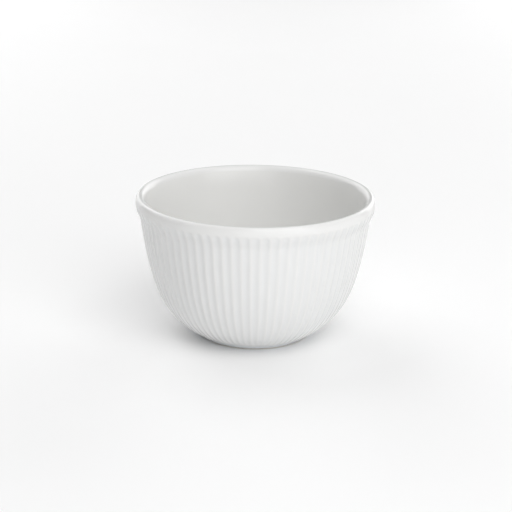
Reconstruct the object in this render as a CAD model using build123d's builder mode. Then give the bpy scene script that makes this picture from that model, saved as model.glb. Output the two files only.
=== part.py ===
from build123d import *
import os
from math import cos, radians, sin

# Porcelain shaving bowl: one fired piece of clay with a fluted outside, and three coats of glaze.
# The origin is the middle of the bearing face, with +Z up. Millimetres and degrees.
# A heading is the direction of an outline in the radius-height plane: 0 is outwards, 90 is up.

# Driving dimensions of the glazed bowl
rim_diameter = 110.0  # widest point of the lip
height = 66.2  # bearing face to the top of the lip
foot_diameter = 52.6  # outside of the foot ring
wall_thickness = 3.6  # wall below the neck, both glazes included
floor_thickness = 3.6  # middle of the bowl, both glazes included
glaze_thickness = 0.25  # each coat of glaze

# Foot ring
foot_ring_width = 3.4  # width of the ring across its bearing face
foot_height = 2.3  # where the belly leaves the foot ring
foot_spread = 2.7  # how far the belly has left the foot ring there
foot_edge_radius = 0.4  # rounding of the bare bearing edges
foot_pull = 0.55  # roundness of the foot's hollows
recess_depth = 2.2  # hollow inside the foot ring
recess_corner = 2.0  # rounding of that hollow
bare_height = 0.45  # foot left without glaze, up from the bearing face

# Wall, from the foot ring up
belly_heading = 33.2  # where the belly leaves the foot ring
wall_heading = 82.3  # wall at the neck, up and a little outwards
belly_pull = 0.79  # fullness of the belly
flare_height = 11.0  # neck where the flare starts, down from the top of the lip
flare_spread = 2.2  # how far the flare carries the lip outwards
flare_pull = 0.38  # roundness of the flare at its two ends

# Lip
lip_drop = 3.6  # widest point, down from the top of the lip
lip_apex_inset = 1.7  # highest point, in from the widest point
lip_thickness = 4.2  # lip across its rounded top
lip_inner_drop = 2.4  # inner shoulder, down from the top of the lip
lip_inner_heading = 254.0  # inner shoulder, down and a little inwards
lip_pull = 0.6  # roundness of the lip

# Inside
floor_radius = 16.0  # flat middle of the floor
inner_pull = 0.7  # fullness of the inside curve

# Flutes, shallow hollows up the outside with narrow ribs between them
flute_count = 80
flute_depth = 0.3  # at the rim, less where the bowl is narrower
rib_share = 0.22  # part of the pitch that a rib takes, the rest is its flute
rib_shoulder = 0.1  # share of the depth at the edges of a rib
flute_fullness = 0.75  # share of the depth a quarter of the way across a flute
flute_bottom = 1.8  # where the flutes start, up from the top of the foot ring
flute_top = 0.2  # where the flutes end, down from the widest point of the lip
flute_fade = 1.4  # height over which a flute reaches its full depth
fade_fullness = 0.6  # share of the depth half-way through that height
belly_sections = 20  # stretches that the belly is divided into
flare_sections = 5  # stretches that the flare is divided into

rim_radius = rim_diameter / 2
foot_radius = foot_diameter / 2
flare_z = height - flare_height
flare_radius = rim_radius - flare_spread
lip_shoulder = (rim_radius - lip_thickness, height - lip_inner_drop)
flutes_start_z = foot_height + flute_bottom
flutes_end_z = height - lip_drop - flute_top
flutes_height = flutes_end_z - flutes_start_z

STANDING = (Align.CENTER, Align.CENTER, Align.MIN)


def direction(heading):
    return Vector(cos(radians(heading)), sin(radians(heading)))


def sunk(point, heading, skin):
    """A point of an outline, moved by skin into the clay, which lies to the left of the outline."""
    return Vector(*point) + direction(heading + 90) * skin


def smooth_curve(start, start_heading, end, end_heading, pull, skin):
    """Control points of a curve that leaves and arrives along two headings, sunk by skin."""
    first = direction(start_heading)
    last = direction(end_heading)
    chord = Vector(*end) - Vector(*start)
    reach = (chord.X * last.Y - chord.Y * last.X) / (first.X * last.Y - first.Y * last.X)
    corner = Vector(*start) + first * reach
    near = sunk(start, start_heading, skin)
    far = sunk(end, end_heading, skin)
    return [near, near + (corner - Vector(*start)) * pull, far + (corner - Vector(*end)) * pull, far]


def flare_curve(start, start_heading, end, end_heading, skin):
    """Nearly straight stretch, rounded only close to its ends."""
    near = sunk(start, start_heading, skin)
    far = sunk(end, end_heading, skin)
    reach = flare_pull * (far - near).length
    return [near, near + direction(start_heading) * reach, far - direction(end_heading) * reach, far]


def outside_curves(skin):
    """Foot ring, belly, flare and both halves of the lip, up and over to the inner shoulder."""
    foot = (foot_radius, 0)
    belly = (foot_radius + foot_spread, foot_height)
    flare = (flare_radius, flare_z)
    widest = (rim_radius, height - lip_drop)
    apex = (rim_radius - lip_apex_inset, height)
    return [
        smooth_curve(foot, 90, belly, belly_heading, foot_pull, skin),
        smooth_curve(belly, belly_heading, flare, wall_heading, belly_pull, skin),
        flare_curve(flare, wall_heading, widest, 90, skin),
        smooth_curve(widest, 90, apex, 180, lip_pull, skin),
        smooth_curve(apex, 180, lip_shoulder, lip_inner_heading, lip_pull, skin),
    ]


def inside_curves(skin):
    """Inside of the flare and wall, from the lip's inner shoulder down to the flat floor."""
    wall = (flare_radius - wall_thickness, flare_z)
    floor = (floor_radius, recess_depth + floor_thickness)
    down = wall_heading + 180
    return [
        flare_curve(lip_shoulder, lip_inner_heading, wall, down, skin),
        smooth_curve(wall, down, floor, 180, inner_pull, skin),
    ]


def recess_curve(skin):
    """Rounded corner of the hollow inside the foot ring, outwards and down to the bearing face."""
    wall_radius = foot_radius - foot_ring_width
    ceiling = (wall_radius - recess_corner, recess_depth)
    return smooth_curve(ceiling, 0, (wall_radius, 0), 270, foot_pull, skin)


def draw_curves(curves):
    for points in curves:
        Bezier(*points)


def turn_coat(face_curves, clay_curves):
    """Outline of a coat of glaze that ends square to its face, ready to be turned."""
    draw_curves(face_curves)
    draw_curves(clay_curves)
    Line(face_curves[0][0], clay_curves[0][0])
    Line(face_curves[-1][-1], clay_curves[-1][-1])


def radius_at(skin, level):
    """Radius of the outside, sunk by skin, at a level between the foot ring and the lip."""
    with BuildLine(mode=Mode.PRIVATE) as outside:
        for points in outside_curves(skin)[1:3]:
            Bezier(*points)
    level_line = Line((0, level), (rim_diameter, level), mode=Mode.PRIVATE)
    return (outside.line & level_line).vertices()[0].X


def scallop(radius, depth):
    """Points round one level, six to each rib and flute, with a rib facing -Y."""
    half_rib = rib_share / 2
    flute_share = 1 - rib_share
    steps = [(0, 0), (half_rib, rib_shoulder), (half_rib + flute_share / 4, flute_fullness), (0.5, 1)]
    steps += [(1 - half_rib - flute_share / 4, flute_fullness), (1 - half_rib, rib_shoulder)]
    points = []
    for flute in range(flute_count):
        for share, sink in steps:
            turn = (flute + share) * 360 / flute_count - 90
            points.append(direction(turn) * (radius - depth * sink))
    return points


def flute_levels():
    """Levels of the sections up the flutes, and the share of the full depth at each."""
    full_start = flutes_start_z + flute_fade
    full_end = flutes_end_z - flute_fade
    levels = [(flutes_start_z, 0), (flutes_start_z + flute_fade / 2, fade_fullness), (full_start, 1)]
    with BuildLine(mode=Mode.PRIVATE):
        belly, flare = [Bezier(*points) for points in outside_curves(0)[1:3]]
    for curve, sections in ((belly, belly_sections), (flare, flare_sections)):
        for section in range(1, sections + 1):
            level = (curve @ (section / sections)).Y
            if full_start + flute_fade / 2 < level < full_end - flute_fade / 2:
                levels.append((level, 1))
    return levels + [(full_end, 1), (flutes_end_z - flute_fade / 2, fade_fullness), (flutes_end_z, 0)]


def fluted_band(skin):
    """The fluted height of the outside, sunk by skin and filled to the axis."""
    with BuildPart() as band:
        for level, strength in flute_levels():
            radius = radius_at(skin, level)
            with BuildSketch(Plane.XY.offset(level)):
                with BuildLine():
                    Spline(*scallop(radius, flute_depth * strength * radius / rim_radius), periodic=True)
                make_face()
        loft(ruled=True)
    return band.part


def coat_between(face_band, clay_band):
    """The coat of glaze between two fluted bands of one height."""
    faces = []
    end_wires = []
    for band in (face_band, clay_band):
        faces += band.faces().filter_by(GeomType.PLANE, reverse=True)
        end_wires.append([end.outer_wire() for end in band.faces().filter_by(Axis.Z).sort_by(Axis.Z)])
    faces += [Face(face_wire, [clay_wire]) for face_wire, clay_wire in zip(*end_wires)]
    return Solid(Shell(faces))


os.makedirs("parts", exist_ok=True)

clay_band = fluted_band(glaze_thickness)
coat_band = coat_between(fluted_band(0), clay_band)

# The fired clay, which reaches the surface only at the bearing face
with BuildPart() as porcelain_body:
    with BuildSketch(Plane.XZ):
        with BuildLine():
            outline = outside_curves(glaze_thickness)
            recess = recess_curve(glaze_thickness)
            draw_curves(outline + [recess])
            shoulder = outline[-1][-1]
            Polyline(shoulder, (0, shoulder.Y), (0, recess[0].Y), recess[0])
            Line(recess[-1], outline[0][0])
        make_face()
    revolve(axis=Axis.Z)
    bearing_edges = porcelain_body.edges().filter_by(GeomType.CIRCLE).group_by(Axis.Z)[0]
    fillet(bearing_edges, foot_edge_radius)
    with Locations((0, 0, flutes_start_z)):
        Cylinder(rim_diameter, flutes_height, align=STANDING, mode=Mode.SUBTRACT)
    add(clay_band)
    with BuildSketch(Plane.XZ):
        with BuildLine():
            hollow = inside_curves(glaze_thickness)
            draw_curves(hollow)
            floor = hollow[-1][-1]
            Polyline(floor, (0, floor.Y), (0, height), (shoulder.X, height), shoulder)
        make_face()
    revolve(axis=Axis.Z, mode=Mode.SUBTRACT)
porcelain_body.part.label = "porcelain_body"
export_step(porcelain_body.part, "parts/porcelain_body.step")

# Glaze on the outside, over the lip to its inner shoulder, following the flutes of the clay
with BuildPart() as outside_glaze:
    with BuildSketch(Plane.XZ):
        with BuildLine():
            turn_coat(outside_curves(0), outside_curves(glaze_thickness))
        make_face()
    revolve(axis=Axis.Z)
    split(bisect_by=Plane.XY.offset(bare_height), keep=Keep.TOP)
    with Locations((0, 0, flutes_start_z)):
        Cylinder(rim_diameter, flutes_height, align=STANDING, mode=Mode.SUBTRACT)
    add(coat_band)
outside_glaze.part.label = "outside_glaze"
export_step(outside_glaze.part, "parts/outside_glaze.step")

# Glaze on the inside, from the lip's inner shoulder to the middle of the floor
with BuildPart() as inside_glaze:
    with BuildSketch(Plane.XZ):
        with BuildLine():
            face_side = inside_curves(0)
            clay_side = inside_curves(glaze_thickness)
            draw_curves(face_side + clay_side)
            Line(face_side[0][0], clay_side[0][0])
            face_end = face_side[-1][-1]
            clay_end = clay_side[-1][-1]
            Polyline(face_end, (0, face_end.Y), (0, clay_end.Y), clay_end)
        make_face()
    revolve(axis=Axis.Z)
inside_glaze.part.label = "inside_glaze"
export_step(inside_glaze.part, "parts/inside_glaze.step")

# Glaze in the hollow under the bowl, stopping short of the bearing face
with BuildPart() as foot_recess_glaze:
    with BuildSketch(Plane.XZ):
        with BuildLine():
            face_side = recess_curve(0)
            clay_side = recess_curve(glaze_thickness)
            draw_curves([face_side, clay_side])
            Line(face_side[-1], clay_side[-1])
            Polyline(face_side[0], (0, face_side[0].Y), (0, clay_side[0].Y), clay_side[0])
        make_face()
    revolve(axis=Axis.Z)
    split(bisect_by=Plane.XY.offset(bare_height), keep=Keep.TOP)
foot_recess_glaze.part.label = "foot_recess_glaze"
export_step(foot_recess_glaze.part, "parts/foot_recess_glaze.step")
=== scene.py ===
"""Fluted porcelain shaving bowl: glaze, bare foot and studio, modelled around the bowl's CAD frame."""
import math

import bpy
from mathutils import Matrix, Vector


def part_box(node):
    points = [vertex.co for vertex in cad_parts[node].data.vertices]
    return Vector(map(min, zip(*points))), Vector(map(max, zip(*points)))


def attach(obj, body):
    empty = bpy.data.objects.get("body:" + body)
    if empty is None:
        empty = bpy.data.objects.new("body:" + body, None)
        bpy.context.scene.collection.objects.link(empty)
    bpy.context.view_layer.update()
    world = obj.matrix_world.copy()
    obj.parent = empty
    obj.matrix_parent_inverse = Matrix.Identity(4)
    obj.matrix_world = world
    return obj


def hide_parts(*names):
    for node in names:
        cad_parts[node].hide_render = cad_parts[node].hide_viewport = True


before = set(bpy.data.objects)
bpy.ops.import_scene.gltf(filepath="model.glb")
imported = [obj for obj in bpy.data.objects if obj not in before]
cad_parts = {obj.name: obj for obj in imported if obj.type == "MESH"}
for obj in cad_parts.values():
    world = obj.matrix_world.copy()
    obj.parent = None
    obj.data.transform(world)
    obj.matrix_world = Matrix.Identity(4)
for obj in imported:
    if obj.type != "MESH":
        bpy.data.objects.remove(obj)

bl_info = {
    "name": "Fluted Shaving Bowl",
    "version": (1, 0, 0),
    "blender": (4, 5, 0),
    "location": "View3D > Sidebar > Shaving Bowl",
    "description": "Models a glazed, fluted porcelain lather bowl around its CAD frame",
    "category": "Add Mesh",
}

MM = 0.001
JOIN_GAP = 0.005 * MM  # points of two outlines that are this close become one
SPIN_GAP = 0.002 * MM  # the same for the seams that a spin leaves
LEVEL_GAP = 0.01 * MM  # heights or radii that are this close count as equal
INSIDE_COLUMNS = 288  # faces round the inside
RECESS_COLUMNS = 160  # faces round the hollow of the foot
COAT_LOW, COAT_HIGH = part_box("outside_glaze")
GLAZE = COAT_HIGH.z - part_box("porcelain_body")[1].z
FLOOR_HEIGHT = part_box("inside_glaze")[0].z + GLAZE
RECESS_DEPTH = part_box("foot_recess_glaze")[1].z - GLAZE
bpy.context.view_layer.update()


# ---------------------------------------------------------------------------------------------
# Settings


class BowlShape(bpy.types.PropertyGroup):
    """Sizes of the turned outline. Headings are degrees in the radius-height plane, 0 outwards, 90 up."""

    rim_radius: bpy.props.FloatProperty(
        name="Rim radius", description="Widest point of the lip", default=COAT_HIGH.x,
        subtype="DISTANCE", unit="LENGTH")
    height: bpy.props.FloatProperty(
        name="Height", description="Bearing face to the top of the lip", default=COAT_HIGH.z,
        subtype="DISTANCE", unit="LENGTH")
    foot_radius: bpy.props.FloatProperty(
        name="Foot radius", description="Outside of the foot ring", default=26.3 * MM,
        subtype="DISTANCE", unit="LENGTH")
    foot_ring_width: bpy.props.FloatProperty(
        name="Foot ring width", description="Ring across its bearing face", default=3.4 * MM,
        subtype="DISTANCE", unit="LENGTH")
    foot_height: bpy.props.FloatProperty(
        name="Foot height", description="Where the belly leaves the foot ring", default=2.3 * MM,
        subtype="DISTANCE", unit="LENGTH")
    foot_spread: bpy.props.FloatProperty(
        name="Foot spread", description="How far the belly has left the foot ring there",
        default=2.7 * MM, subtype="DISTANCE", unit="LENGTH")
    foot_edge_radius: bpy.props.FloatProperty(
        name="Foot edge radius", description="Rounding of the bare bearing edges",
        default=0.4 * MM, subtype="DISTANCE", unit="LENGTH")
    recess_depth: bpy.props.FloatProperty(
        name="Recess depth", description="Hollow inside the foot ring",
        default=RECESS_DEPTH, subtype="DISTANCE", unit="LENGTH")
    recess_corner: bpy.props.FloatProperty(
        name="Recess corner", description="Rounding of that hollow", default=2.0 * MM,
        subtype="DISTANCE", unit="LENGTH")
    bare_height: bpy.props.FloatProperty(
        name="Bare height", description="Foot left without glaze", default=COAT_LOW.z,
        subtype="DISTANCE", unit="LENGTH")
    belly_heading: bpy.props.FloatProperty(
        name="Belly heading", description="Where the belly leaves the foot ring", default=33.2)
    wall_heading: bpy.props.FloatProperty(
        name="Wall heading", description="Wall at the neck, a little outwards", default=82.3)
    belly_pull: bpy.props.FloatProperty(
        name="Belly fullness", description="Handle length of the belly curve", default=0.79)
    flare_height: bpy.props.FloatProperty(
        name="Flare height", description="Neck where the flare starts, down from the top of the lip",
        default=11.0 * MM, subtype="DISTANCE", unit="LENGTH")
    flare_spread: bpy.props.FloatProperty(
        name="Flare spread", description="How far the flare carries the lip outwards",
        default=2.2 * MM, subtype="DISTANCE", unit="LENGTH")
    flare_pull: bpy.props.FloatProperty(
        name="Flare roundness", description="Handle length of the flare curve", default=0.38)
    lip_drop: bpy.props.FloatProperty(
        name="Lip drop", description="Widest point, down from the top of the lip",
        default=3.6 * MM, subtype="DISTANCE", unit="LENGTH")
    lip_apex_inset: bpy.props.FloatProperty(
        name="Lip crest inset", description="Highest point, in from the widest point",
        default=1.7 * MM, subtype="DISTANCE", unit="LENGTH")
    lip_thickness: bpy.props.FloatProperty(
        name="Lip thickness", description="Lip across its rounded top", default=4.2 * MM,
        subtype="DISTANCE", unit="LENGTH")
    lip_inner_drop: bpy.props.FloatProperty(
        name="Inner shoulder drop", description="Inner shoulder, down from the top of the lip",
        default=2.4 * MM, subtype="DISTANCE", unit="LENGTH")
    lip_inner_heading: bpy.props.FloatProperty(
        name="Inner shoulder heading", description="Down and a little inwards", default=254.0)
    lip_pull: bpy.props.FloatProperty(
        name="Lip roundness", description="Handle length of the lip curves", default=0.6)
    foot_pull: bpy.props.FloatProperty(
        name="Foot roundness", description="Handle length of the foot curves", default=0.55)
    wall_thickness: bpy.props.FloatProperty(
        name="Wall thickness", description="Wall at the neck", default=3.6 * MM,
        subtype="DISTANCE", unit="LENGTH")
    floor_height: bpy.props.FloatProperty(
        name="Floor height", description="Inside floor above the bearing face",
        default=FLOOR_HEIGHT, subtype="DISTANCE", unit="LENGTH")
    floor_radius: bpy.props.FloatProperty(
        name="Floor radius", description="Flat middle of the floor", default=16.0 * MM,
        subtype="DISTANCE", unit="LENGTH")
    inner_pull: bpy.props.FloatProperty(
        name="Inside fullness", description="Handle length of the inside curve", default=0.7)


class FluteSettings(bpy.types.PropertyGroup):
    """Shallow hollows up the outside, with narrow ribs between them."""

    count: bpy.props.IntProperty(name="Flutes", description="Number of flutes", default=80, min=3)
    depth: bpy.props.FloatProperty(
        name="Depth", description="Depth at the rim", default=0.3 * MM,
        subtype="DISTANCE", unit="LENGTH")
    rib_share: bpy.props.FloatProperty(
        name="Rib share", description="Part of the pitch that a rib takes", default=0.22)
    bottom: bpy.props.FloatProperty(
        name="Bottom", description="Start of the flutes, above the foot ring", default=1.8 * MM,
        subtype="DISTANCE", unit="LENGTH")
    top: bpy.props.FloatProperty(
        name="Top", description="End of the flutes, below the widest point", default=0.2 * MM,
        subtype="DISTANCE", unit="LENGTH")
    fade: bpy.props.FloatProperty(
        name="Fade", description="Height over which a flute reaches its depth", default=1.4 * MM,
        subtype="DISTANCE", unit="LENGTH")
    corner: bpy.props.FloatProperty(
        name="Corner", description="Rounding of a flute's ends", default=0.9 * MM,
        subtype="DISTANCE", unit="LENGTH")
    columns: bpy.props.IntProperty(
        name="Columns", description="Faces across one flute and rib", default=8, min=4)


def colour_setting(name, description, default):
    return bpy.props.FloatVectorProperty(
        name=name, description=description, default=default, size=3, subtype="COLOR", min=0, max=1)


class FinishSettings(bpy.types.PropertyGroup):
    """Colours of the glazes, the fired clay and the floor."""

    outside: colour_setting("Outside", "Thin glaze on the ribs", (0.79, 0.788, 0.778))
    outside_pool: colour_setting("Outside pool", "Thicker glaze in the flutes", (0.757, 0.763, 0.763))
    # painted light: a lighter, cooler glaze colour round the foot that offsets the floor's contact shadow
    # and stands in for light bounced up from the floor
    foot_painted_light: colour_setting("Foot painted light", "Glaze round the foot, cooler and lighter", (0.80, 0.835, 0.875))
    inside: colour_setting("Inside", "Thin glaze inside", (0.78, 0.777, 0.762))
    inside_cloud: colour_setting("Inside cloud", "Thicker patches inside", (0.757, 0.757, 0.745))
    inside_pool: colour_setting("Inside pool", "Glaze pooled in the bottom", (0.73, 0.74, 0.735))
    recess: colour_setting("Recess", "Thin glaze in the hollow of the foot", (0.775, 0.77, 0.752))
    recess_cloud: colour_setting("Recess cloud", "Thicker patches there", (0.72, 0.725, 0.72))
    pinhole: colour_setting("Pinhole", "Clay seen through a pinhole", (0.55, 0.52, 0.47))
    recess_pinhole: colour_setting("Recess pinhole", "Clay seen through a pinhole there", (0.5, 0.46, 0.4))
    clay: colour_setting("Clay", "Bare fired clay", (0.80, 0.775, 0.72))
    clay_mottle: colour_setting("Clay mottle", "Darker patches of the clay", (0.73, 0.70, 0.64))
    glaze_line: colour_setting("Glaze line", "Clay beside the edge of the glaze", (0.70, 0.61, 0.48))
    scuff: colour_setting("Scuff", "Rubbed bearing face", (0.42, 0.41, 0.40))
    floor: colour_setting("Floor", "Plain paper", (0.93, 0.93, 0.93))
    floor_light: colour_setting("Floor, lighter", "Lighter patches of the paper", (0.95, 0.95, 0.95))


class StageSettings(bpy.types.PropertyGroup):
    """Camera, floor and lights."""

    camera_distance: bpy.props.FloatProperty(
        name="Camera distance", description="Camera to the point it looks at", default=0.65,
        subtype="DISTANCE", unit="LENGTH")
    camera_azimuth: bpy.props.FloatProperty(
        name="Camera azimuth", description="Turn of the camera about the bowl",
        default=math.radians(1.7), subtype="ANGLE")
    camera_pitch: bpy.props.FloatProperty(
        name="Camera pitch", description="Camera above the horizon", default=math.radians(18.15),
        subtype="ANGLE")
    camera_roll: bpy.props.FloatProperty(
        name="Camera roll", description="Tilt of the picture", default=math.radians(0.8),
        subtype="ANGLE")
    target_height: bpy.props.FloatProperty(
        name="Target height", description="Height that the camera looks at", default=36.15 * MM,
        subtype="DISTANCE", unit="LENGTH")
    target_side: bpy.props.FloatProperty(
        name="Target side", description="Sideways place that the camera looks at",
        default=0.65 * MM, subtype="DISTANCE", unit="LENGTH")
    lens: bpy.props.FloatProperty(
        name="Lens", description="Focal length in millimetres", default=98.1)


# ---------------------------------------------------------------------------------------------
# Outline of the bowl, in the XZ plane


def direction(heading):
    return Vector((math.cos(math.radians(heading)), 0, math.sin(math.radians(heading))))


def sunk(point, heading, skin):
    """A point of the outline, moved by skin into the clay, to the left of the outline."""
    return Vector((point[0], 0, point[1])) + direction(heading + 90) * skin


def round_curve(start, start_heading, end, end_heading, pull, skin, rows):
    """Handles of a curve that leaves and arrives along two headings, and its number of rows."""
    first, last = direction(start_heading), direction(end_heading)
    chord = Vector((end[0] - start[0], 0, end[1] - start[1]))
    reach = (chord.x * last.z - chord.z * last.x) / (first.x * last.z - first.z * last.x)
    corner = Vector((start[0], 0, start[1])) + first * reach
    near, far = sunk(start, start_heading, skin), sunk(end, end_heading, skin)
    near_pull = (corner - sunk(start, 0, 0)) * pull
    far_pull = (corner - sunk(end, 0, 0)) * pull
    return near, near + near_pull, far + far_pull, far, rows


def straight_curve(start, start_heading, end, end_heading, pull, skin, rows):
    """Nearly straight stretch, rounded only close to its ends."""
    near, far = sunk(start, start_heading, skin), sunk(end, end_heading, skin)
    reach = pull * (far - near).length
    near_handle = near + direction(start_heading) * reach
    return near, near_handle, far - direction(end_heading) * reach, far, rows


def line(start, end, rows=1):
    """Handles of a straight stretch."""
    third = (end - start) / 3
    return start, start + third, end - third, end, rows


def outside_outline(shape, skin):
    """Foot, belly, flare and lip, from the bottom up and over to the inner shoulder."""
    foot = (shape.foot_radius, 0)
    belly = (shape.foot_radius + shape.foot_spread, shape.foot_height)
    flare = (shape.rim_radius - shape.flare_spread, shape.height - shape.flare_height)
    widest = (shape.rim_radius, shape.height - shape.lip_drop)
    crest = (shape.rim_radius - shape.lip_apex_inset, shape.height)
    shoulder = (shape.rim_radius - shape.lip_thickness, shape.height - shape.lip_inner_drop)
    up, over = 90, 180
    return [
        round_curve(foot, up, belly, shape.belly_heading, shape.foot_pull, skin, 6),
        round_curve(belly, shape.belly_heading, flare, shape.wall_heading, shape.belly_pull, skin, 34),
        straight_curve(flare, shape.wall_heading, widest, up, shape.flare_pull, skin, 14),
        round_curve(widest, up, crest, over, shape.lip_pull, skin, 7),
        round_curve(crest, over, shoulder, shape.lip_inner_heading, shape.lip_pull, skin, 8),
    ]


def inside_outline(shape, skin):
    """Inner shoulder, flare, wall and floor, from the top down to the axis."""
    shoulder = (shape.rim_radius - shape.lip_thickness, shape.height - shape.lip_inner_drop)
    wall_radius = shape.rim_radius - shape.flare_spread - shape.wall_thickness
    wall = (wall_radius, shape.height - shape.flare_height)
    floor = (shape.floor_radius, shape.floor_height)
    down, inwards = shape.wall_heading + 180, 180
    floor_edge = sunk(floor, inwards, skin)
    return [
        straight_curve(shoulder, shape.lip_inner_heading, wall, down, shape.flare_pull, skin, 12),
        round_curve(wall, down, floor, inwards, shape.inner_pull, skin, 40),
        line(floor_edge, Vector((0, 0, floor_edge.z)), 6),
    ]


def recess_outline(shape, skin):
    """Hollow inside the foot ring, from the axis outwards and down to the bearing face."""
    wall_radius = shape.foot_radius - shape.foot_ring_width
    edge = (wall_radius - shape.recess_corner, shape.recess_depth)
    ceiling_edge = sunk(edge, 0, skin)
    return [
        line(Vector((0, 0, ceiling_edge.z)), ceiling_edge, 6),
        round_curve(edge, 0, (wall_radius, 0), 270, shape.foot_pull, skin, 10),
    ]


# ---------------------------------------------------------------------------------------------
# Modelling steps


def deselect_everything():
    if bpy.context.object and bpy.context.object.mode != "OBJECT":
        bpy.ops.object.mode_set(mode="OBJECT")
    bpy.ops.object.select_all(action="DESELECT")


def make_active(*objects):
    deselect_everything()
    for obj in objects:
        obj.select_set(True)
    bpy.context.view_layer.objects.active = objects[-1]


def edit_all():
    bpy.ops.object.mode_set(mode="EDIT")
    bpy.ops.mesh.select_all(action="SELECT")


def draw_outline(name, stretches):
    """Draws each stretch as a Bezier curve, turns it into edges and joins them end to end."""
    drawn = []
    for start, start_handle, end_handle, end, rows in stretches:
        deselect_everything()
        bpy.ops.curve.primitive_bezier_curve_add(location=(0, 0, 0))
        curve = bpy.context.object
        curve.data.resolution_u = rows
        first, last = curve.data.splines[0].bezier_points
        for point in (first, last):
            point.handle_left_type = point.handle_right_type = "FREE"
        first.co, first.handle_left, first.handle_right = start, start, start_handle
        last.co, last.handle_left, last.handle_right = end, end_handle, end
        bpy.ops.object.convert(target="MESH")
        drawn.append(bpy.context.object)
    make_active(*drawn)
    bpy.ops.object.join()
    outline = bpy.context.object
    outline.name = outline.data.name = name
    edit_all()
    bpy.ops.mesh.remove_doubles(threshold=JOIN_GAP)
    bpy.ops.object.mode_set(mode="OBJECT")
    return outline


def trim_below(obj, level):
    """Cuts away what lies lower than level."""
    make_active(obj)
    edit_all()
    bpy.ops.mesh.bisect(plane_co=(0, 0, level), plane_no=(0, 0, 1), clear_inner=True)
    bpy.ops.object.mode_set(mode="OBJECT")


def spin_selected(steps, angle, dupli=False):
    edit_all()
    bpy.ops.mesh.spin(steps=steps, angle=angle, dupli=dupli, center=(0, 0, 0), axis=(0, 0, 1))
    bpy.ops.mesh.select_all(action="SELECT")
    bpy.ops.mesh.remove_doubles(threshold=SPIN_GAP)
    bpy.ops.object.mode_set(mode="OBJECT")


def select_edges(obj, wanted):
    """In edit mode, selects the edges whose two ends wanted(a, b) accepts."""
    bpy.ops.mesh.select_mode(type="EDGE")
    bpy.ops.mesh.select_all(action="DESELECT")
    bpy.ops.object.mode_set(mode="OBJECT")
    points = obj.data.vertices
    for edge in obj.data.edges:
        edge.select = wanted(*(points[index].co for index in edge.vertices))
    bpy.ops.object.mode_set(mode="EDIT")


def is_ring(a, b):
    """True for an edge that runs round the bowl."""
    return abs(a.xy.length - b.xy.length) < LEVEL_GAP


def face_towards(obj, wanted):
    """Makes all normals agree, then flips them if they look away from wanted(point)."""
    make_active(obj)
    edit_all()
    bpy.ops.mesh.normals_make_consistent(inside=False)
    bpy.ops.object.mode_set(mode="OBJECT")
    agreement = sum(p.normal.dot(wanted(p.center)) * p.area for p in obj.data.polygons)
    if agreement < 0:
        edit_all()
        bpy.ops.mesh.flip_normals()
        bpy.ops.object.mode_set(mode="OBJECT")


def outwards(point):
    return Vector((point.x, point.y, 0))


def to_bowl_middle(point):
    return Vector((0, 0, COAT_HIGH.z)) - point


def downwards(point):
    return Vector((0, 0, -1))


def flute_weight(point, shape, flutes):
    """How deep the flutes are at a point: 1 in the middle of a flute at the rim, 0 on a rib."""
    phase = (math.degrees(math.atan2(point.y, point.x)) + 90) / 360 * flutes.count % 1
    across = abs(phase - 0.5) * 2 / (1 - flutes.rib_share)
    if across >= 1:
        return 0
    end_rise = flutes.corner * across ** 4
    low = shape.foot_height + flutes.bottom + end_rise
    high = shape.height - shape.lip_drop - flutes.top - end_rise
    inside = min(point.z - low, high - point.z) / flutes.fade
    share = max(0, min(1, inside))
    fade = share * share * (3 - 2 * share)
    return (1 - across * across) * fade * math.hypot(point.x, point.y) / shape.rim_radius


def apply_modifier(obj, kind, **settings):
    make_active(obj)
    bpy.ops.object.modifier_add(type=kind)
    modifier = obj.modifiers[-1]
    for setting, value in settings.items():
        setattr(modifier, setting, value)
    bpy.ops.object.modifier_apply(modifier=modifier.name)


def press_flute(obj, shape, flutes):
    """Presses one flute into one pitch of the turned surface."""
    group = obj.vertex_groups.new(name="flute")
    for vertex in obj.data.vertices:
        group.add([vertex.index], flute_weight(vertex.co, shape, flutes), "REPLACE")
    apply_modifier(obj, "DISPLACE", direction="NORMAL", mid_level=0, strength=-flutes.depth,
                   vertex_group="flute")
    obj.vertex_groups.remove(obj.vertex_groups["flute"])


def turn_fluted(obj, shape, flutes):
    """Turns one pitch, presses its flute and repeats it round the bowl."""
    pitch = 2 * math.pi / flutes.count
    make_active(obj)
    spin_selected(flutes.columns, pitch)
    face_towards(obj, outwards)
    press_flute(obj, shape, flutes)
    make_active(obj)
    spin_selected(flutes.count - 1, 2 * math.pi - pitch, dupli=True)


def finish_piece(obj, node, material):
    """Smooth shading, finish, body and the CAD node that the piece stands for."""
    make_active(obj)
    bpy.ops.object.shade_smooth_by_angle(angle=math.radians(40))
    obj.data.materials.clear()
    obj.data.materials.append(material)
    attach(obj, "root")
    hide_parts(node)
    deselect_everything()


# ---------------------------------------------------------------------------------------------
# Shader expressions


class Value:
    """A shader socket or a number, with arithmetic that adds the nodes it needs."""

    def __init__(self, nodes, socket):
        self.nodes, self.socket = nodes, socket

    def math(self, operation, *others, clamp=False):
        return self.nodes.add("ShaderNodeMath", {"operation": operation, "use_clamp": clamp},
                              [self, *others])

    def __add__(self, other):
        return self.math("ADD", other)

    def __sub__(self, other):
        return self.math("SUBTRACT", other)

    def __mul__(self, other):
        return self.math("MULTIPLY", other)

    def __truediv__(self, other):
        return self.math("DIVIDE", other)

    def __radd__(self, other):
        return self + other

    def __rmul__(self, other):
        return self * other

    def __rsub__(self, other):
        return Value(self.nodes, other).math("SUBTRACT", self)

    def clamped(self):
        return self.math("ADD", 0, clamp=True)

    def rise(self, low, high):
        """0 below low, 1 above high, smooth between them."""
        return self.nodes.add("ShaderNodeMapRange", {"interpolation_type": "SMOOTHSTEP"},
                              {"Value": self, "From Min": low, "From Max": high})


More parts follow.
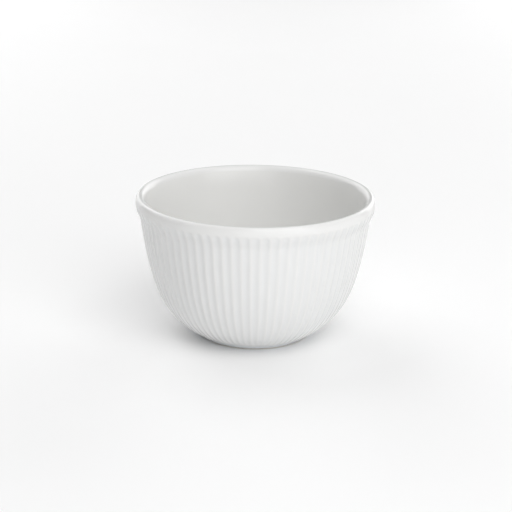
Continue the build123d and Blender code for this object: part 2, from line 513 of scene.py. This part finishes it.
class Nodes:
    """The node tree of one material."""

    def __init__(self, name):
        self.material = bpy.data.materials.new(name)
        self.material.use_nodes = True
        self.tree = self.material.node_tree
        self.tree.nodes.clear()
        self.output = self.tree.nodes.new("ShaderNodeOutputMaterial")

    def add(self, kind, settings=None, inputs=None, output=0):
        """Adds a node: its settings first, then the values or links of its sockets."""
        node = self.tree.nodes.new(kind)
        for name, value in (settings or {}).items():
            setattr(node, name, value)
        named = inputs.items() if isinstance(inputs, dict) else enumerate(inputs or [])
        for name, value in named:
            self.feed(node.inputs[name], value)
        return Value(self, node.outputs[output])

    def feed(self, socket, value):
        if isinstance(value, Value):
            value = value.socket
        if isinstance(value, bpy.types.NodeSocket):
            self.tree.links.new(value, socket)
        else:
            socket.default_value = value

    def place(self):
        """Object coordinates."""
        return self.add("ShaderNodeTexCoord", output="Object")

    def noise(self, place, scale, detail=2.0, roughness=0.5):
        return self.add("ShaderNodeTexNoise", {}, {
            "Vector": place, "Scale": scale, "Detail": detail, "Roughness": roughness}, "Fac")

    def mix(self, factor, first, second):
        """Colour mix, with colours as red, green, blue or as Values."""
        node = self.tree.nodes.new("ShaderNodeMix")
        node.data_type = "RGBA"
        self.feed(node.inputs["Factor"], factor)
        for name, colour in (("A", first), ("B", second)):
            socket = [s for s in node.inputs if s.name == name and s.type == "RGBA"][0]
            self.feed(socket, colour if isinstance(colour, Value) else (*colour, 1))
        return Value(self, [s for s in node.outputs if s.type == "RGBA"][0])

    def principled(self, inputs):
        shader = self.add("ShaderNodeBsdfPrincipled", {}, inputs)
        self.feed(self.output.inputs["Surface"], shader)
        return self.material


# ---------------------------------------------------------------------------------------------
# Finishes


GLAZE_IOR = 1.5
FOOT_PAINTED_LIGHT = (1.2 * MM, 4.5 * MM)  # heights between which the painted light on the glaze at the foot fades out
BOTTOM_POOL = 14 * MM  # height over which the glaze pooled inside fades out
TURNING_RINGS = (2200, 2600)  # turning rings inside, in radians per metre across and up


def glaze_surface(nodes, place, height_map=0):
    """The gentle unevenness of a fired glaze: long swells, fine orange peel and rare pinholes."""
    swell = nodes.noise(place, 70, 1.0)
    peel = nodes.noise(place, 420, 2.0)
    pits = nodes.add("ShaderNodeTexVoronoi", {}, {"Vector": place, "Scale": 130}, "Distance")
    pinhole = 1 - pits.rise(0.012, 0.035)
    relief = swell * 0.9 + peel * 0.22 - pinhole * 0.25 + height_map
    return nodes.add("ShaderNodeBump", {}, {
        "Strength": 0.16, "Distance": 0.1 * MM, "Height": relief}), pinhole


def outside_glaze_finish(shape, flutes, colours):
    """Clear gloss over white clay, a touch cooler and greyer where it pools in the flutes. The glaze is
    painted lighter and cooler round the foot: painted light against the contact shadow and for the floor's
    bounce.
    """
    nodes = Nodes("outside_glaze")
    place = nodes.place()
    x, y, z = (nodes.add("ShaderNodeSeparateXYZ", {}, [place], axis) for axis in "XYZ")
    turn = y.math("ARCTAN2", x) / (2 * math.pi) + 0.25
    phase = (turn * flutes.count).math("FRACT")
    across = (phase - 0.5).math("ABSOLUTE") * 2
    rib = across.rise(1 - 2.2 * flutes.rib_share, 1 - 0.3 * flutes.rib_share)
    band_low = z.rise(shape.foot_height + flutes.bottom, shape.foot_height + flutes.bottom + flutes.fade)
    top = shape.height - shape.lip_drop - flutes.top
    band = band_low * (1 - z.rise(top - flutes.fade, top))
    cloud = nodes.noise(place, 45, 2.0)
    pool = ((1 - rib) * band * 0.6 + cloud * 0.5).clamped()
    normal, pinhole = glaze_surface(nodes, place)
    tone = nodes.mix(pool, colours.outside, colours.outside_pool)
    # painted light: the glaze turns lighter and cooler towards the foot, against the contact shadow and for
    # the floor's bounce
    foot_painted_light = (1 - z.rise(*FOOT_PAINTED_LIGHT)) * 0.8
    tone = nodes.mix(foot_painted_light, tone, colours.foot_painted_light)
    tone = nodes.mix(pinhole * 0.35, tone, colours.pinhole)
    rough = 0.17 + cloud * 0.06 + pinhole * 0.3
    return nodes.principled({
        "Base Color": tone, "Roughness": rough, "Normal": normal, "IOR": GLAZE_IOR})


def inside_glaze_finish(shape, colours):
    """The same glaze, pooled a little in the bottom, with faint rings from turning the clay."""
    nodes = Nodes("inside_glaze")
    place = nodes.place()
    x, y, z = (nodes.add("ShaderNodeSeparateXYZ", {}, [place], axis) for axis in "XYZ")
    radius = (x * x + y * y).math("SQRT")
    cloud = nodes.noise(place, 40, 2.0)
    rings_across, rings_up = TURNING_RINGS
    rings = (radius * rings_across + z * rings_up + cloud * 3).math("SINE") * 0.05
    normal, pinhole = glaze_surface(nodes, place, rings)
    tone = nodes.mix(cloud, colours.inside, colours.inside_cloud)
    depth_pool = 1 - z.rise(shape.floor_height, shape.floor_height + BOTTOM_POOL)
    tone = nodes.mix(depth_pool * 0.5, tone, colours.inside_pool)
    tone = nodes.mix(pinhole * 0.35, tone, colours.pinhole)
    rough = 0.18 + cloud * 0.06 + pinhole * 0.3
    return nodes.principled({
        "Base Color": tone, "Roughness": rough, "Normal": normal, "IOR": GLAZE_IOR})


def foot_glaze_finish(colours):
    """Glaze brushed into the hollow of the foot, thinner and less even."""
    nodes = Nodes("foot_glaze")
    place = nodes.place()
    cloud = nodes.noise(place, 160, 3.0)
    normal, pinhole = glaze_surface(nodes, place, cloud * 0.8)
    tone = nodes.mix(cloud, colours.recess, colours.recess_cloud)
    tone = nodes.mix(pinhole * 0.5, tone, colours.recess_pinhole)
    return nodes.principled({
        "Base Color": tone, "Roughness": 0.14 + cloud * 0.08, "Normal": normal, "IOR": GLAZE_IOR})


def bare_clay_finish(shape, colours):
    """Fine matt fired clay, cream at the glaze line and grey where the foot has rubbed."""
    nodes = Nodes("bare_porcelain")
    place = nodes.place()
    z = nodes.add("ShaderNodeSeparateXYZ", {}, [place], "Z")
    grain = nodes.noise(place, 2600, 3.0, 0.6)
    mottle = nodes.noise(place, 220, 3.0)
    tone = nodes.mix(mottle, colours.clay, colours.clay_mottle)
    tone = nodes.mix(z.rise(0.5 * MM, shape.bare_height) * 0.5, tone, colours.glaze_line)
    scuff = nodes.noise(place, 900, 4.0, 0.65).rise(0.56, 0.68) * (1 - z.rise(0, 0.25 * MM))
    tone = nodes.mix(scuff * 0.55, tone, colours.scuff)
    normal = nodes.add("ShaderNodeBump", {}, {
        "Strength": 0.5, "Distance": 0.05 * MM, "Height": grain + mottle * 0.4})
    return nodes.principled({
        "Base Color": tone, "Roughness": 0.72 - scuff * 0.2, "Normal": normal})


def floor_finish(colours):
    """Plain pale paper."""
    nodes = Nodes("pale_floor")
    cloud = nodes.noise(nodes.place(), 6, 2.0)
    return nodes.principled({
        "Base Color": nodes.mix(cloud, colours.floor, colours.floor_light), "Roughness": 0.8})


# ---------------------------------------------------------------------------------------------
# Operators


# Name, azimuth, elevation, size and power of each soft box
LIGHTS = [
    ("low_front", 0, 5, 1.1, 5.2),
    ("low_right", 40, 5, 1.1, 7.9),
    ("key_front", 25, 48, 1.3, 14.6),
    ("high_right", 75, 48, 1.3, 1.3),
    ("high_left", -75, 48, 1.3, 2.5),
    ("side_right", 100, 14, 1.1, 1.7),
    ("side_left", -100, 14, 1.1, 1.2),
    ("back_right", 150, 14, 1.1, 7.6),
    ("back_left", -150, 14, 1.1, 5.9),
    ("high_back_right", 135, 48, 1.3, 3.5),
    ("high_back_left", -135, 48, 1.3, 8.0),
    ("overhead", 0, 88, 1.5, 2.6),
]
LIGHT_DISTANCE = 1.6
WORLD_STRENGTH = 0.02


class BOWL_OT_outside_glaze(bpy.types.Operator):
    """Model the fluted coat of glaze on the outside and over the lip"""

    bl_idname = "bowl.outside_glaze"
    bl_label = "Outside Glaze"

    def execute(self, context):
        shape, flutes = context.scene.bowl_shape, context.scene.bowl_flutes
        finish = outside_glaze_finish(shape, flutes, context.scene.bowl_finish)
        coat = draw_outline("outside_coat", outside_outline(shape, 0))
        trim_below(coat, shape.bare_height)
        turn_fluted(coat, shape, flutes)
        face_towards(coat, outwards)
        apply_modifier(coat, "SOLIDIFY", thickness=GLAZE, offset=-1)
        finish_piece(coat, "outside_glaze", finish)
        return {"FINISHED"}


class BOWL_OT_inside_glaze(bpy.types.Operator):
    """Model the coat of glaze on the inside"""

    bl_idname = "bowl.inside_glaze"
    bl_label = "Inside Glaze"

    def execute(self, context):
        shape = context.scene.bowl_shape
        coat = draw_outline("inside_coat", inside_outline(shape, 0))
        make_active(coat)
        spin_selected(INSIDE_COLUMNS, 2 * math.pi)
        face_towards(coat, to_bowl_middle)
        apply_modifier(coat, "SOLIDIFY", thickness=GLAZE, offset=-1)
        finish = inside_glaze_finish(shape, context.scene.bowl_finish)
        finish_piece(coat, "inside_glaze", finish)
        return {"FINISHED"}


class BOWL_OT_foot_glaze(bpy.types.Operator):
    """Model the glaze in the hollow of the foot"""

    bl_idname = "bowl.foot_glaze"
    bl_label = "Foot Recess Glaze"

    def execute(self, context):
        shape = context.scene.bowl_shape
        coat = draw_outline("foot_coat", recess_outline(shape, 0))
        trim_below(coat, shape.bare_height)
        spin_selected(RECESS_COLUMNS, 2 * math.pi)
        face_towards(coat, downwards)
        apply_modifier(coat, "SOLIDIFY", thickness=GLAZE, offset=-1)
        finish_piece(coat, "foot_recess_glaze", foot_glaze_finish(context.scene.bowl_finish))
        return {"FINISHED"}


class BOWL_OT_clay(bpy.types.Operator):
    """Model the fired clay, which shows at the bare foot"""

    bl_idname = "bowl.clay"
    bl_label = "Porcelain Body"

    def execute(self, context):
        shape, flutes = context.scene.bowl_shape, context.scene.bowl_flutes
        outside = draw_outline("clay_outside", outside_outline(shape, GLAZE))
        turn_fluted(outside, shape, flutes)
        inner_foot = Vector((shape.foot_radius - shape.foot_ring_width + GLAZE, 0, 0))
        outer_foot = Vector((shape.foot_radius - GLAZE, 0, 0))
        stretches = inside_outline(shape, GLAZE) + recess_outline(shape, GLAZE)
        rest = draw_outline("clay_inside", stretches + [line(inner_foot, outer_foot)])
        make_active(rest)
        spin_selected(flutes.count * flutes.columns, 2 * math.pi)
        make_active(rest, outside)
        bpy.ops.object.join()
        clay = bpy.context.object
        clay.name = clay.data.name = "clay_body"
        edit_all()
        bpy.ops.mesh.remove_doubles(threshold=JOIN_GAP)
        bpy.ops.mesh.normals_make_consistent(inside=False)
        select_edges(clay, lambda a, b: max(a.z, b.z) < LEVEL_GAP and is_ring(a, b))
        bpy.ops.mesh.bevel(offset=shape.foot_edge_radius, segments=4, affect="EDGES")
        bpy.ops.object.mode_set(mode="OBJECT")
        finish = bare_clay_finish(shape, context.scene.bowl_finish)
        finish_piece(clay, "porcelain_body", finish)
        return {"FINISHED"}


def away_from_bowl(turn, rise):
    """Direction from the bowl, turned to the right of its front and raised."""
    return Vector((math.sin(turn) * math.cos(rise), -math.cos(turn) * math.cos(rise), math.sin(rise)))


class BOWL_OT_stage(bpy.types.Operator):
    """Set the floor, lights, world and camera"""

    bl_idname = "bowl.stage"
    bl_label = "Studio"

    def execute(self, context):
        stage = context.scene.bowl_stage
        deselect_everything()
        bpy.ops.mesh.primitive_plane_add(size=12, location=(0, 0, 0))
        floor = context.object
        floor.name = "floor"
        floor.data.materials.append(floor_finish(context.scene.bowl_finish))
        for light in LIGHTS:
            self.add_light(*light)
        self.set_world(context.scene)
        self.add_camera(context.scene, stage)
        return {"FINISHED"}

    def add_light(self, name, azimuth, elevation, size, power):
        """A square soft box that looks at the bowl. Azimuth 0 is in front, 90 to the right."""
        back = away_from_bowl(math.radians(azimuth), math.radians(elevation))
        aim = Vector((0, 0, COAT_HIGH.z / 2))
        bpy.ops.object.light_add(type="AREA", location=aim + back * LIGHT_DISTANCE,
                                 rotation=back.to_track_quat("Z", "Y").to_euler())
        light = bpy.context.object
        light.name = light.data.name = name
        light.data.shape, light.data.size = "SQUARE", size
        light.data.energy = power

    def set_world(self, scene):
        world = bpy.data.worlds.new("studio")
        scene.world = world
        world.use_nodes = True
        background = world.node_tree.nodes["Background"]
        background.inputs["Color"].default_value = (1, 1, 1, 1)
        background.inputs["Strength"].default_value = WORLD_STRENGTH
        scene.view_settings.view_transform = "Standard"

    def add_camera(self, scene, stage):
        turn = stage.camera_azimuth
        back = away_from_bowl(turn, stage.camera_pitch)
        side = Vector((math.cos(turn), math.sin(turn), 0))
        target = side * stage.target_side + Vector((0, 0, stage.target_height))
        look = back.to_track_quat("Z", "Y").to_matrix() @ Matrix.Rotation(stage.camera_roll, 3, "Z")
        bpy.ops.object.camera_add(location=target + back * stage.camera_distance,
                                  rotation=look.to_euler())
        camera = bpy.context.object
        camera.name = "camera"
        camera.data.lens = stage.lens
        camera.data.clip_start, camera.data.clip_end = 0.01, 20
        scene.camera = camera


class BOWL_PT_panel(bpy.types.Panel):
    """Lists the bowl's pieces, its stage and their settings."""

    bl_idname = "BOWL_PT_panel"
    bl_label = "Shaving Bowl"
    bl_space_type = "VIEW_3D"
    bl_region_type = "UI"
    bl_category = "Shaving Bowl"

    def draw(self, context):
        for operator in PIECES:
            self.layout.operator(operator.bl_idname)
        scene = context.scene
        for settings in (scene.bowl_shape, scene.bowl_flutes, scene.bowl_finish, scene.bowl_stage):
            box = self.layout.box()
            for name in settings.__annotations__:
                box.prop(settings, name)


PIECES = (BOWL_OT_clay, BOWL_OT_outside_glaze, BOWL_OT_inside_glaze, BOWL_OT_foot_glaze, BOWL_OT_stage)
CLASSES = (BowlShape, FluteSettings, FinishSettings, StageSettings, *PIECES, BOWL_PT_panel)


def register():
    for cls in CLASSES:
        bpy.utils.register_class(cls)
    bpy.types.Scene.bowl_shape = bpy.props.PointerProperty(type=BowlShape)
    bpy.types.Scene.bowl_flutes = bpy.props.PointerProperty(type=FluteSettings)
    bpy.types.Scene.bowl_finish = bpy.props.PointerProperty(type=FinishSettings)
    bpy.types.Scene.bowl_stage = bpy.props.PointerProperty(type=StageSettings)


def unregister():
    del bpy.types.Scene.bowl_stage
    del bpy.types.Scene.bowl_finish
    del bpy.types.Scene.bowl_flutes
    del bpy.types.Scene.bowl_shape
    for cls in reversed(CLASSES):
        bpy.utils.unregister_class(cls)


def main():
    register()
    bpy.ops.bowl.clay()
    bpy.ops.bowl.outside_glaze()
    bpy.ops.bowl.inside_glaze()
    bpy.ops.bowl.foot_glaze()
    bpy.ops.bowl.stage()


if __name__ == "__main__":
    main()
